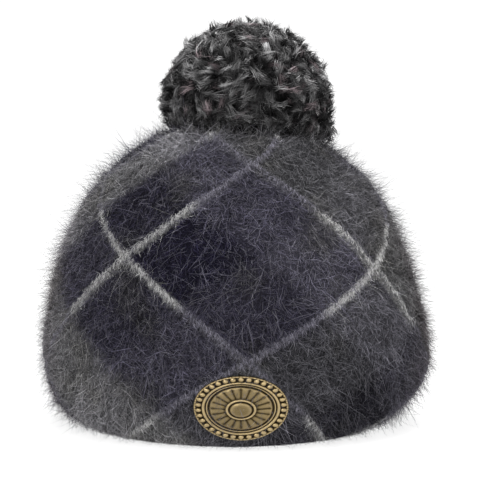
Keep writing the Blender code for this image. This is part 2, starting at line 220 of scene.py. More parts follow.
def smooth_noise(points, scale, seed):
    """Soft noise from -1 to 1: a sum of waves in random directions."""
    rng = np.random.default_rng(seed)
    total = np.zeros(points.shape[:-1])
    for _ in range(14):
        way = unit(rng.normal(size=3)) * rng.uniform(0.55, 1.6) * 2 * math.pi / scale
        total += np.sin(points @ way + rng.uniform(0, 2 * math.pi))
    return total / math.sqrt(14)


def mesh_object(name, vertices, faces, colours):
    """A mesh object from arrays, with a colour for each vertex."""
    mesh = bpy.data.meshes.new(name)
    faces = np.asarray(faces, dtype=np.int32)
    sides = faces.shape[1]
    mesh.vertices.add(len(vertices))
    mesh.vertices.foreach_set("co", np.asarray(vertices, dtype=np.float32).ravel())
    mesh.loops.add(faces.size)
    mesh.loops.foreach_set("vertex_index", faces.ravel())
    mesh.polygons.add(len(faces))
    mesh.polygons.foreach_set("loop_start", np.arange(0, faces.size, sides, dtype=np.int32))
    mesh.update(calc_edges=True)
    mesh.polygons.foreach_set("use_smooth", np.full(len(faces), True))
    layer = mesh.color_attributes.new("yarn", "FLOAT_COLOR", "POINT")
    rgba = np.ones((len(vertices), 4), dtype=np.float32)
    rgba[:, :3] = colours
    layer.data.foreach_set("color", rgba.ravel())
    mesh.validate()
    item = bpy.data.objects.new(name, mesh)
    bpy.context.scene.collection.objects.link(item)
    return item


# The crown's surfaces

def cast_column(tree, centre, azimuth, outer):
    """Points of the crown's outer or inner face over one azimuth, from the rim to the top."""
    side = Vector((math.sin(azimuth), -math.cos(azimuth), 0))
    rays = []
    for i in range(LOW_RAYS):
        height = RIM_LIFT + (BELLY_HEIGHT - RIM_LIFT) * i / LOW_RAYS
        rays.append((Vector((centre[0], centre[1], height)), side))
    for i in range(HIGH_RAYS + 1):
        rise = math.pi / 2 * i / HIGH_RAYS
        way = side * math.cos(rise) + Vector((0, 0, math.sin(rise)))
        rays.append((Vector((centre[0], centre[1], BELLY_HEIGHT)), way))
    column = []
    for start, way in rays:
        if outer:
            hit = tree.ray_cast(start + way * FAR_OUT, -way)[0]
        else:
            hit = tree.ray_cast(start, way)[0]
        through_hole = column and (hit is None or (hit - column[-1]).length > LONGEST_STEP)
        column.append(column[-1] if through_hole else hit)
    return [point[:] for point in column]


def even_rows(columns, rows):
    """Spaces each column's points evenly along its arc, and gives each point's distance from the rim."""
    points = np.array(columns)
    steps = np.linalg.norm(np.diff(points, axis=1), axis=2)
    arcs = np.concatenate([np.zeros((len(points), 1)), np.cumsum(steps, axis=1)], axis=1)
    shares = np.linspace(0, 1, rows)
    even = np.empty((len(points), rows, 3))
    for i, (column, arc) in enumerate(zip(points, arcs)):
        for axis in range(3):
            even[i, :, axis] = np.interp(shares * arc[-1], arc, column[:, axis])
    return even, shares[None, :] * arcs[:, -1:]


def relax(grid, rounds):
    """Averages away the model's facets, leaving the rim and the apex where they are."""
    for _ in range(rounds):
        ring = (np.roll(grid, 1, 0) + 2 * grid + np.roll(grid, -1, 0)) / 4
        grid = ring.copy()
        middle = (ring[:, :-2] + 2 * ring[:, 1:-1] + ring[:, 2:]) / 4
        grid[:, FIRST_RELAXED_ROW:-1] = middle[:, FIRST_RELAXED_ROW - 1:]
    return grid


def grid_normals(grid):
    across = np.roll(grid, -1, 0) - np.roll(grid, 1, 0)
    up = np.gradient(grid, axis=1)
    return unit(np.cross(across, up))


def crown_grid(outer, rows, rounds):
    """The crown's outer or inner face as a grid of points, and each point's distance from the rim."""
    tree = node_tree("crown")
    low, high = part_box("crown")
    centre = ((low.x + high.x) / 2, (low.y + high.y) / 2)
    raw = [cast_column(tree, centre, 2 * math.pi * i / COLUMNS, outer) for i in range(COLUMNS)]
    grid, arc = even_rows(raw, rows)
    grid = relax(grid, rounds)
    grid[:, -1] = grid[:, -1].mean(0)
    return grid, arc


def azimuths(points):
    low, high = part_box("crown")
    return np.arctan2(points[..., 0] - (low.x + high.x) / 2, -(points[..., 1] - (low.y + high.y) / 2))


def check_coordinates(azimuth, arc):
    """Where a point lies between the lines that run each way."""
    level = (CHECK_MIDDLE_ARC - arc) / CHECK_ARC_UNIT
    side = azimuth * LINES_ROUND / math.pi + CHECK_TURN - CHECK_SPREAD * np.sin(azimuth)
    side = side + CHECK_LEAN * level + CHECK_CURVE * level * level
    up = level - CHECK_DROOP * (1 - np.cos(azimuth)) - CHECK_SLANT * np.sin(azimuth)
    return (side + 1 + up) / 2, (side + 1 - up) / 2


def yarn_table(names):
    return np.array([YARNS[name] for name in names])


def line_mask(place):
    away = np.abs(place - np.round(place))
    return 1 - ease((away - LINE_HALF_WIDTH) / LINE_EDGE + 0.5)


def line_colour(line, place):
    """A line's colour: white round every second crossing, lavender round the others, in a ladder of stitches
    with painted shade between them. The white is brighter towards the wearer's left."""
    def whiteness(crossing):
        return 1.0 - (np.round(line) + crossing) % 2

    start = np.floor(place)
    blend = ease((place - start - 0.5) / 0.10 + 0.5)
    white = whiteness(start) * (1 - blend) + whiteness(start + 1) * blend
    swing = 1 + WHITE_SWING * np.sin(math.pi * (line + place - 1) / LINES_ROUND)
    white_part = (white * swing)[..., None] * np.array(YARNS["white"])
    colour = white_part + (1 - white[..., None]) * np.array(YARNS["lavender"])
    # Painted shade: the ladder darkens each line between its stitches, more on the lavender
    ladder = 0.5 + 0.5 * np.cos(2 * math.pi * STITCHES_PER_CHECK * place)
    stitch_gap_shade = (0.62 - 0.42 * white)[..., None]
    return colour * (1 - stitch_gap_shade * (1 - ladder[..., None]))


def band_mix(place, names):
    """The colour of the half-band at each place, softly changing at its edges."""
    table = yarn_table(names)
    at = 2 * place - 0.5
    start = np.floor(at).astype(int)
    blend = ease((at - start - 0.5) / 0.22 + 0.5)[..., None]
    count = 2 * LINES_ROUND
    return table[start % count] * (1 - blend) + table[(start + 1) % count] * blend


def band_colour(s, t):
    """The colour of the half-bands where they cross, without the lines."""
    return 0.5 * (band_mix(t, ACROSS_BANDS) + band_mix(s, ALONG_BANDS))


def check_colour(s, t):
    """The check's colour, and how far each point lies in a line."""
    base = band_colour(s, t)
    across = line_mask(t)[..., None]
    along = line_mask(s)[..., None]
    colour = base * (1 - across) + line_colour(t, s) * across
    colour = colour * (1 - along) + line_colour(s, t) * along
    return colour, np.maximum(across, along)[..., 0]


def wall_faces(columns, rows, offset=0, inward=False):
    i = np.arange(columns)[:, None]
    j = np.arange(rows - 1)[None, :]
    a = i * rows + j
    b = ((i + 1) % columns) * rows + j
    quads = np.stack([a, b, b + 1, a + 1], -1).reshape(-1, 4) + offset
    return quads[:, ::-1] if inward else quads


def build_crown():
    outer, outer_arc = crown_grid(True, ROWS, OUTER_RELAX_ROUNDS)
    inner, inner_arc = crown_grid(False, INNER_ROWS, INNER_RELAX_ROUNDS)
    outer[:, 0, 2] = 0
    inner[:, 0, 2] = 0
    lumps = 0.0005 * smooth_noise(outer, 0.030, 1) + 0.00025 * smooth_noise(outer, 0.009, 2)
    outer = outer + grid_normals(outer) * (lumps * ease(outer[..., 2] / 0.02))[..., None]
    vertices = np.concatenate([outer.reshape(-1, 3), inner.reshape(-1, 3)])
    count = COLUMNS * ROWS
    here = np.arange(COLUMNS)
    after = (here + 1) % COLUMNS
    rim = np.stack([here * ROWS, count + here * INNER_ROWS, count + after * INNER_ROWS, after * ROWS], -1)
    faces = np.concatenate([
        wall_faces(COLUMNS, ROWS), wall_faces(COLUMNS, INNER_ROWS, count, inward=True), rim,
    ])
    s, t = check_coordinates(azimuths(outer), outer_arc)
    outside, _ = check_colour(s, t)
    s, t = check_coordinates(azimuths(inner), inner_arc)
    inside = band_colour(s, t)
    # The outer face is darkened with painted shade under the nap
    colours = np.concatenate([outside.reshape(-1, 3) * UNDER_NAP_PAINTED_SHADE, inside.reshape(-1, 3) * INSIDE_SHADE])
    crown = mesh_object("knit_crown", vertices, faces, colours)
    stitch_map(crown, np.concatenate([outer_arc.ravel(), inner_arc.ravel()]), vertices)
    crown.data.materials.append(knit_material())
    keep(crown)
    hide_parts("crown")
    return outer, outer_arc


def stitch_map(crown, arc, vertices):
    """A map in stitches: columns round the hat and rows up from the rim."""
    layer = crown.data.uv_layers.new(name="stitches")
    loops = np.empty(len(crown.data.loops), dtype=np.int32)
    crown.data.loops.foreach_get("vertex_index", loops)
    turn = (azimuths(vertices) / (2 * math.pi)) % 1.0
    u = turn[loops] * STITCHES_ROUND
    quads = u.reshape(-1, 4)
    span = quads.max(1, keepdims=True) - quads
    quads += np.where(span > STITCHES_ROUND / 2, STITCHES_ROUND, 0)
    uv = np.stack([quads.ravel(), arc[loops] / STITCH_ROW_HEIGHT], -1)
    layer.data.foreach_set("uv", uv.astype(np.float32).ravel())


def keep(item):
    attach(item, "root")


# Fibres

def scatter(grid, arc, count, rng, weight=None):
    """Random places on the crown's outer face: point, normal, upward direction, azimuth and arc."""
    normals = grid_normals(grid)
    a = grid[:, :-1]
    b = np.roll(grid, -1, 0)[:, :-1]
    c = grid[:, 1:]
    area = np.linalg.norm(np.cross(b - a, c - a), axis=2)
    if weight is not None:
        area = area * weight[:, :-1]
    total = np.cumsum(area.ravel())
    pick = np.searchsorted(total, rng.uniform(0, total[-1], count))
    i, j = np.divmod(pick, grid.shape[1] - 1)
    k = (i + 1) % len(grid)
    x = rng.uniform(size=(count, 1))
    y = rng.uniform(size=(count, 1))

    def between(values):
        low = values[i, j] * (1 - x) + values[k, j] * x
        high = values[i, j + 1] * (1 - x) + values[k, j + 1] * x
        return low * (1 - y) + high * y

    points = between(grid)
    upward = unit(grid[i, j + 1] - grid[i, j])
    arcs = between(arc[..., None])[:, 0]
    return points, unit(between(normals)), upward, azimuths(points), arcs


def ribbons(
    name, roots, ways, bends, sides, lengths, widths, root_colour, tip_colour, segments, material,
):
    """Tapered strips along curves, one for each root, as one mesh."""
    count = len(roots)
    rows = []
    shades = []
    for k in range(segments):
        share = k / segments
        spine = roots + lengths[:, None] * (ways * share + bends * share * share)
        half = sides * (widths * (1 - 0.75 * share))[:, None] * 0.5
        rows.extend([spine - half, spine + half])
        shade = root_colour * (1 - share) + tip_colour * share
        shades.extend([shade, shade])
    rows.append(roots + lengths[:, None] * (ways + bends))
    shades.append(tip_colour)
    per = 2 * segments + 1
    vertices = np.stack(rows, 1)
    low, high = (np.array(corner) for corner in CAD_BOX)
    vertices = np.clip(vertices, low - HALO_REACH, high + HALO_REACH)
    vertices[..., 2] = np.maximum(vertices[..., 2], 0.0002)
    triangles = []
    for k in range(segments - 1):
        at = 2 * k
        triangles.extend([(at, at + 1, at + 3), (at, at + 3, at + 2)])
    triangles.append((per - 3, per - 2, per - 1))
    faces = (np.arange(count)[:, None, None] * per + np.array(triangles)[None]).reshape(-1, 3)
    colours = np.stack(shades, 1).reshape(-1, 3)
    item = mesh_object(name, vertices.reshape(-1, 3), faces, np.clip(colours, 0, 1))
    item.data.materials.append(material)
    keep(item)


def flow(points, normals, upward, azimuth, rng, wander):
    """Directions along the surface: down and away from the front, swirled in wisps and scattered."""
    across = np.cross(normals, upward)
    swirl = 1.3 * smooth_noise(points, 0.050, 31)
    turn = 1.1 * np.sin(azimuth) + swirl + 0.9 * smooth_noise(points, 0.014, 32)
    turn = turn + wander * rng.normal(size=len(points))
    way = across * np.sin(turn)[:, None] - upward * np.cos(turn)[:, None]
    return unit(way)


def fibre_sides(ways, normals, rng):
    """The direction of a strip's width: across the fibre, rolled a little."""
    side = unit(np.cross(ways, normals))
    roll = rng.normal(0, 0.6, len(ways))[:, None]
    return unit(side * np.cos(roll) + normals * np.sin(roll))


def mottled(points, colour):
    """Light, dark and charcoal patches, and a faint rose cast on both sides."""
    patch = 1 + 0.20 * smooth_noise(points, 0.0085, 41) + 0.30 * smooth_noise(points, 0.0030, 42)
    sooty = 0.65 * ease((smooth_noise(points, 0.034, 43) - 0.35) / 0.7)[:, None]
    neutral = colour.mean(1, keepdims=True) * np.array((0.84, 0.82, 0.76))
    colour = colour * (1 - sooty) + neutral * sooty
    turn = np.abs(np.abs(azimuths(points)) - math.radians(82)) / math.radians(28)
    rosy = 0.40 * (1 - ease(turn)) * (1 - ease((points[:, 2] - 0.08) / 0.06))
    mixed = colour * (1 - rosy[:, None]) + np.array(YARNS["rose"]) * rosy[:, None]
    return mixed * np.clip(patch, 0.3, 2.0)[:, None]


def frosted(colour, rng, share, strength):
    """Lightens some fibres towards frost in their own tint, and varies them all."""
    out = colour * (0.18 + 2.1 * rng.uniform(size=(len(colour), 1)) ** 1.6)
    pale = (rng.uniform(size=len(colour)) < share) * rng.uniform(0.15, 1.0, len(colour)) ** 1.5 * strength
    tint = colour / np.maximum(colour.mean(1, keepdims=True), 1e-4)
    frost = np.array(YARNS["frost"]) * (1 - FROST_TINT + FROST_TINT * tint)
    return out * (1 - pale[:, None]) + frost * pale[:, None]


def worn_front(points, azimuth):
    """1 in the middle of the front, where the nap is short and the stitches show, and 0 away from it."""
    aside = np.abs(azimuth - 0.05) / 0.75
    above = np.abs(points[:, 2] - 0.085) / 0.075
    return (1 - ease(aside)) * (1 - ease(above))


def build_nap(grid, arc, material):
    """Dense short fibres that lie over one another, in several pieces."""
    for number in range(NAP_PIECES):
        rng = np.random.default_rng(SEED + number)
        points, normals, upward, azimuth, arcs = scatter(grid, arc, NAP_COUNT, rng)
        s, t = check_coordinates(azimuth, arcs)
        colour, in_line = check_colour(s, t)
        close = 1 - 0.48 * worn_front(points, azimuth)
        ways = flow(points, normals, upward, azimuth, rng, 1.25)
        lift = rng.uniform(0.10, 0.80, NAP_COUNT) * close * (1 - 0.4 * in_line)
        ways = unit(ways + normals * lift[:, None])
        lengths = rng.uniform(*NAP_LENGTH, NAP_COUNT) * close * (1 - 0.45 * in_line)
        bends = -normals * (0.45 * lift)[:, None] + 0.38 * rng.normal(size=points.shape)
        mixed = frosted(mottled(points, colour), rng, 0.20, 0.66)
        # Each fibre darkens towards its root and lightens towards its tip: painted shade deep in the nap,
        # painted light at the tips
        ribbons(
            f"nap_{number + 1}", points, ways, bends, fibre_sides(ways, normals, rng), lengths,
            NAP_WIDTH * rng.uniform(0.6, 1.3, NAP_COUNT), mixed * NAP_ROOT_PAINTED_SHADE, mixed * NAP_TIP_PAINTED_LIGHT, 2,
            material,
        )


def build_lines(grid, arc, material):
    """Short upright fibres over the nap in the check's lines, like the legs of their stitches."""
    rng = np.random.default_rng(SEED + 7)
    s, t = check_coordinates(azimuths(grid), arc)
    weight = np.maximum(line_mask(s), line_mask(t)) ** 2 + 1e-4
    points, normals, upward, azimuth, arcs = scatter(grid, arc, LINE_FIBRES, rng, weight)
    s, t = check_coordinates(azimuth, arcs)
    colour, in_line = check_colour(s, t)
    turn = rng.normal(0, 0.45, LINE_FIBRES)
    across = np.cross(normals, upward)
    ways = across * np.sin(turn)[:, None] - upward * np.cos(turn)[:, None]
    ways = unit(ways + normals * rng.uniform(0.05, 0.30, LINE_FIBRES)[:, None])
    bends = -0.3 * normals + 0.15 * rng.normal(size=points.shape)
    lengths = rng.uniform(*LINE_FIBRE_LENGTH, LINE_FIBRES)
    lift = normals * rng.uniform(0.0006, 0.0024, LINE_FIBRES)[:, None] + upward * (0.5 * lengths)[:, None]
    mixed = colour * rng.uniform(0.8, 1.25, (LINE_FIBRES, 1))
    ribbons(
        "line_fibres", points + lift, ways, bends, fibre_sides(ways, normals, rng), lengths,
        np.full(LINE_FIBRES, NAP_WIDTH * 1.1), mixed, mixed, 2, material,
    )


def build_halo(grid, arc, material):
    """Long fine hairs that stand off the knit, least in the middle of the front."""
    rng = np.random.default_rng(SEED + 11)
    points, normals, upward, azimuth, arcs = scatter(grid, arc, HALO_COUNT, rng)
    s, t = check_coordinates(azimuth, arcs)
    colour, in_line = check_colour(s, t)
    colour = colour * (1 - 0.70 * in_line[:, None])
    ways = flow(points, normals, upward, azimuth, rng, 0.9)
    lift = rng.uniform(0.45, 1.8, HALO_COUNT) * (1 - 0.5 * worn_front(points, azimuth))
    ways = unit(ways + normals * lift[:, None])
    bends = -upward * rng.uniform(0.05, 0.35, HALO_COUNT)[:, None] + 0.30 * rng.normal(size=points.shape)
    lengths = rng.uniform(0, 1, HALO_COUNT) ** 2.0 * (HALO_LENGTH[1] - HALO_LENGTH[0]) + HALO_LENGTH[0]
    mixed = frosted(mottled(points, colour), rng, 0.50, 0.60)
    # Hairs darken towards the root and lighten towards the tip: painted shade near the knit, painted light at
    # the tips
    ribbons(
        "halo", points, ways, bends, fibre_sides(ways, normals, rng), lengths,
        HALO_WIDTH * rng.uniform(0.7, 1.3, HALO_COUNT), mixed * 0.7, mixed * 1.3, HALO_SEGMENTS,
        material,
    )


# The pompom

def pompom_place():
    low, high = (np.array(corner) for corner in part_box("pompom"))
    radius = (high[0] - low[0] + high[1] - low[1]) / 4
    centre = np.array([(low[0] + high[0]) / 2, (low[1] + high[1]) / 2, high[2] - radius])
    return centre, radius


def seat_height(points, tree):
    """The height of the crown's outer face under each point."""
    heights = []
    for x, y, z in points:
        hit = tree.ray_cast(Vector((x, y, FAR_OUT)), Vector((0, 0, -1)))[0]
        heights.append(hit.z if hit else -1.0)
    return np.array(heights)


def ball_directions(count, rng, lowest):
    """Evenly spread directions by the golden angle, above a lowest slope, with a little scatter."""
    rise = lowest + (1 - lowest) * (np.arange(count) + 0.5) / count
    turn = np.arange(count) * math.pi * (3 - math.sqrt(5))
    flat = np.sqrt(1 - rise * rise)
    way = np.stack([flat * np.cos(turn), flat * np.sin(turn), rise], 1)
    return unit(way + 0.03 * rng.normal(size=way.shape))


def smooth_ways(out, rng):
    """Directions that turn slowly over the ball, so that neighbouring tufts lie roughly the same way."""
    fields = [smooth_noise(out, 0.9, 50 + axis) for axis in range(3)]
    return unit(np.stack(fields, 1) + 1.1 * rng.normal(size=out.shape))


def arc_height(ways, bends, out):
    """How far a curl of unit length rises along the outward direction at its highest point."""
    rise = (ways * out).sum(1)
    fall = np.minimum((bends * out).sum(1), -1e-3)
    top = np.clip(-rise / (2 * fall), 0, 1)
    return rise * top + fall * top * top


def build_pompom(material):
    """A dark core of painted shade deep in the pile, curly tufts that lie over one another, and fine fuzz."""
    centre, radius = pompom_place()
    tree = node_tree("crown")
    rng = np.random.default_rng(SEED + 21)
    build_core(centre, radius * POMPOM_CORE_SHARE, tree, material)
    build_tufts(centre, radius, tree, rng, material)
    build_fuzz(centre, radius, tree, rng, material)


def tuft_shades(out, rng):
    """How light each tuft is: lighter towards the top with painted light, and in patches."""
    patches = 1 + 0.40 * smooth_noise(out, 0.20, 61)
    # Painted light: the tufts grow lighter towards the top of the ball
    upper = 0.66 + 0.80 * out[:, 2]
    return rng.uniform(0.05, 1.0, TUFT_COUNT) ** 1.6 * upper * np.clip(patches, 0.15, 2.0)


def strand_tips(shade, from_middle, each, rng):
    """The colour of each strand's tip: brightest along its tuft's ridge with painted light and darker at its
    sides with painted shade, and with a blush on some tufts.
    """
    # Painted light and shade: strands in the middle of a tuft are lighter, those at its edges darker
    ridge = np.clip(1.5 - 0.5 * from_middle, 0.2, 1.5)
    bright = np.maximum(shade[each], 0) * ridge * rng.uniform(0.4, 1.5, len(each))
    tip = TUFT_DARK + (TUFT_LIGHT - TUFT_DARK) * bright[:, None]
    blush = (rng.uniform(size=TUFT_COUNT) < BLUSH_SHARE)[each][:, None]
    return np.where(blush, tip * TUFT_BLUSH, tip)


def build_tufts(centre, radius, tree, rng, material):
    """Curly tufts of strands, each rooted so that it just reaches the ball's outer form. Some are spikes."""
    out = ball_directions(TUFT_COUNT, rng, LOWEST_TUFT)
    sideways = unit(np.cross(out, smooth_ways(out, rng)))
    second = np.cross(out, sideways)
    rise = rng.uniform(0.50, 1.50, (TUFT_COUNT, 1))
    curl = sideways * rng.uniform(0.20, 0.75, (TUFT_COUNT, 1))
    curl = curl - out * rng.uniform(0.35, 1.0, (TUFT_COUNT, 1))
    curl = curl + second * rng.normal(0, 0.50, (TUFT_COUNT, 1))
    spike = rng.uniform(size=TUFT_COUNT) < SPIKE_SHARE
    curl[spike] *= SPIKE_CURL
    rise[spike] = SPIKE_RISE
    tuft_way = unit(out * rise + sideways * 0.75)
    tuft_length = rng.uniform(*TUFT_LENGTH, TUFT_COUNT)
    lean = POMPOM_LEAN * out[:, 0] * np.maximum(-out[:, 2], 0)
    swell = 1 + POMPOM_SWELL * (1 - out[:, 2] ** 2) + lean
    reach = radius * swell * (rng.uniform(0.89, 1.00, TUFT_COUNT) + SPIKE_REACH * spike)
    lift = tuft_length * arc_height(tuft_way, curl, out)
    root = centre + out * np.maximum(reach - lift, LOWEST_ROOT * radius)[:, None]
    shade = tuft_shades(out, rng)

    each = np.repeat(np.arange(TUFT_COUNT), STRANDS_PER_TUFT)
    count = len(each)
    spread = rng.normal(0, TUFT_RADIUS, (count, 2))
    offset = sideways[each] * spread[:, :1] + second[each] * spread[:, 1:]
    gather = offset / tuft_length[each, None] * TUFT_GATHER
    ways = tuft_way[each] - gather + 0.10 * rng.normal(size=(count, 3))
    bends = curl[each] + 0.16 * rng.normal(size=(count, 3))
    sides = unit(np.cross(ways, out[each] + 0.5 * rng.normal(size=(count, 3))))
    lengths = tuft_length[each] * rng.uniform(0.8, 1.1, count)
    tips = strand_tips(shade, np.linalg.norm(spread, axis=1) / TUFT_RADIUS, each, rng)
    starts = root[each] + offset
    heights = seat_height(starts, tree)
    clear = starts[:, 2] > heights + 0.0012
    ways[:, 2] = np.where(starts[:, 2] < heights + 0.010, np.abs(ways[:, 2]) * 0.3, ways[:, 2])
    widths = rng.uniform(*STRAND_WIDTH, count)
    # The strands run from TUFT_DARK at the root, painted shade deep in the pile, to their tip colours
    ribbons(
        "pompom_tufts", starts[clear], ways[clear], bends[clear], sides[clear], lengths[clear], widths[clear],
        np.tile(TUFT_DARK, (clear.sum(), 1)), tips[clear], TUFT_SEGMENTS, material,
    )


def build_fuzz(centre, radius, tree, rng, material):
    """Fine short hairs all round the pompom."""
    out = ball_directions(POMPOM_FUZZ, rng, LOWEST_FUZZ)
    roots = centre + out * radius * FUZZ_ROOT_SHARE
    ways = unit(out + 0.7 * rng.normal(size=out.shape))
    grey = np.tile(FUZZ_COLOUR, (POMPOM_FUZZ, 1)) * rng.uniform(0.4, 1.6, (POMPOM_FUZZ, 1))
    clear = roots[:, 2] > seat_height(roots, tree) + 0.002
    bends = 0.3 * rng.normal(size=out.shape)
    sides = unit(np.cross(ways, rng.normal(size=out.shape)))
    lengths = rng.uniform(*FUZZ_LENGTH, POMPOM_FUZZ)
    # Hairs darken towards the root: painted shade near the pompom
    ribbons(
        "pompom_fuzz", roots[clear], ways[clear], bends[clear], sides[clear], lengths[clear],
        np.full(clear.sum(), FUZZ_WIDTH), grey[clear] * 0.6, grey[clear], 3, material,
    )


def build_core(centre, radius, tree, material):
    """The ball under the tufts, uneven, and flat where the crown's seat carries it. Its near-black colour is
    painted shade deep among the tufts.
    """
    turn = np.arange(CORE_COLUMNS)[:, None] * 2 * math.pi / CORE_COLUMNS
    rise = -math.pi / 2 + np.arange(CORE_ROWS)[None, :] * math.pi / (CORE_ROWS - 1)
    way = np.stack([
        np.cos(rise) * np.cos(turn), np.cos(rise) * np.sin(turn), np.sin(rise) + 0 * turn,
    ], -1)
    points = centre + way * radius * (1 + 0.03 * smooth_noise(way, 0.5, 5)[..., None])
    flat = points.reshape(-1, 3)
    flat[:, 2] = np.maximum(flat[:, 2], seat_height(flat, tree) + 0.0006)
    colours = np.full((len(flat), 3), CORE_PAINTED_SHADE)
    core = mesh_object("pompom_core", flat, wall_faces(CORE_COLUMNS, CORE_ROWS), colours)
    core.data.materials.append(material)
    keep(core)
    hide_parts("pompom")


# The badge

def oval_ring(radius, place, half_width, height):
    """A round moulding at a share of the badge's radius."""
    across = (radius - place) / half_width
    return height * np.sqrt(np.clip(1 - across * across, 0, 1))


def badge_relief(radius, turn):
    """The badge's height in metres at a share of its radius and a direction."""
    height = np.full(radius.shape, 0.0015)
    height += 0.0004 * ease((1.0 - radius) / 0.02)
    height += oval_ring(radius, 0.965, 0.030, 0.0005) * (0.82 + 0.18 * np.cos(BADGE_NOTCHES * turn))
    bead_turn = (turn * BADGE_BEADS / (2 * math.pi)) % 1.0 - 0.5
    bead_side = bead_turn * 2 * math.pi / BADGE_BEADS * radius
    bead = np.sqrt(bead_side ** 2 + (radius - 0.885) ** 2) / 0.066
    height += 0.0013 * np.sqrt(np.clip(1 - bead * bead, 0, 1))
    height += oval_ring(radius, 0.785, 0.038, 0.0011)
    height += oval_ring(radius, 0.715, 0.018, 0.0005)
    dome = np.sqrt(np.clip(1 - (radius / 0.66) ** 2, 0, 1))
    flute = np.abs(np.sin(BADGE_FLUTES / 2 * turn)) ** 0.7
    fade = ease((radius - 0.27) / 0.10) * ease((0.66 - radius) / 0.08)
    height += 0.0027 * dome - 0.0006 * (1 - flute) * fade
    height += oval_ring(radius, 0.285, 0.030, 0.0007)
    height += 0.0018 * np.sqrt(np.clip(1 - (radius / 0.235) ** 2, 0, 1))
    return height


def badge_points(x, y, height):
    """Wraps the badge's flat points round the front of the crown and puts them in their place."""
    turn = x / BADGE_BEND_RADIUS
    out = BADGE_BEND_RADIUS + BADGE_GAP + height
    side = out * np.sin(turn)
    proud = out * np.cos(turn) - BADGE_BEND_RADIUS
    tilt = math.radians(BADGE_TILT_DEG)
    return np.stack([
        BADGE_CENTRE_X + side,
        BADGE_BACK_Y - y * math.sin(tilt) - proud * math.cos(tilt),
        BADGE_HEIGHT + y * math.cos(tilt) - proud * math.sin(tilt),
    ], -1)


def patina(height):
    """1 on the badge's rubbed high spots and 0 in its hollows."""
    blurred = height
    for _ in range(12):
        blurred = (np.roll(blurred, 1, 0) + 2 * blurred + np.roll(blurred, -1, 0)) / 4
        padded = np.pad(blurred, ((0, 0), (1, 1)), mode="edge")
        blurred = (padded[:, :-2] + 2 * padded[:, 1:-1] + padded[:, 2:]) / 4
    return ease(0.46 + (height - blurred) / PATINA_DEPTH)


def build_badge(material):
    radius = np.linspace(1, 0.001, BADGE_RINGS)[None, :] ** 0.9
    turn = np.arange(BADGE_COLUMNS)[:, None] * 2 * math.pi / BADGE_COLUMNS
    x = BADGE_HALF_WIDTH * radius * np.cos(turn)
    y = BADGE_HALF_HEIGHT * radius * np.sin(turn)
    height = badge_relief(radius + 0 * turn, turn + 0 * radius)
    front = badge_points(x, y, height)
    back = badge_points(x[:, :1], y[:, :1], np.zeros((BADGE_COLUMNS, 1)))
    middle = badge_points(0.5 * x[:, :1], 0.5 * y[:, :1], np.zeros((BADGE_COLUMNS, 1)))
    centre = badge_points(0.001 * x[:, :1], 0.001 * y[:, :1], np.zeros((BADGE_COLUMNS, 1)))
    grid = np.concatenate([centre, middle, back, front], axis=1)
    rubbed = np.concatenate([np.full((BADGE_COLUMNS, 3), PLAIN_PATINA), patina(height)], axis=1)
    colours = np.repeat(rubbed.reshape(-1, 1), 3, axis=1)
    badge = mesh_object("badge_boss", grid.reshape(-1, 3), wall_faces(BADGE_COLUMNS, grid.shape[1]), colours)
    badge.data.materials.append(material)
    keep(badge)
    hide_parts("badge")
    post(material)


def post(material):
    """The badge's post, through the knit into the clasp."""
    turn = np.arange(POST_SIDES)[:, None] * 2 * math.pi / POST_SIDES
    along = np.array([POST_TOP, POST_END])[None, :] + 0 * turn
    wide = np.array([POST_RADIUS, POST_RADIUS])[None, :]
    sides = badge_points(wide * np.cos(turn), wide * np.sin(turn), along)
    tip = badge_points(0 * turn, 0 * turn, np.full((POST_SIDES, 1), POST_TIP))
    grid = np.concatenate([sides, tip], axis=1)
    colours = np.full((grid.shape[0] * grid.shape[1], 3), PLAIN_PATINA)
    faces = wall_faces(POST_SIDES, grid.shape[1], inward=True)
    item = mesh_object("badge_post", grid.reshape(-1, 3), faces, colours)
    item.data.materials.append(material)
    keep(item)


# Materials

def new_material(name):
    material = bpy.data.materials.new(name)
    material.use_nodes = True
    nodes = material.node_tree.nodes
    return material, nodes, material.node_tree.links, nodes["Principled BSDF"]


def yarn_colour(nodes):
    attribute = nodes.new("ShaderNodeAttribute")
    attribute.attribute_name = "yarn"
    return attribute.outputs["Color"]


def fibre_material(name, roughness, sheen):
    """Hair-like strips, coloured by their own yarn."""
    material, nodes, links, shader = new_material(name)
    links.new(yarn_colour(nodes), shader.inputs["Base Color"])
    shader.inputs["Roughness"].default_value = roughness
    shader.inputs["Specular IOR Level"].default_value = 0.05
    shader.inputs["Sheen Weight"].default_value = sheen
    shader.inputs["Sheen Roughness"].default_value = 0.5
    return material


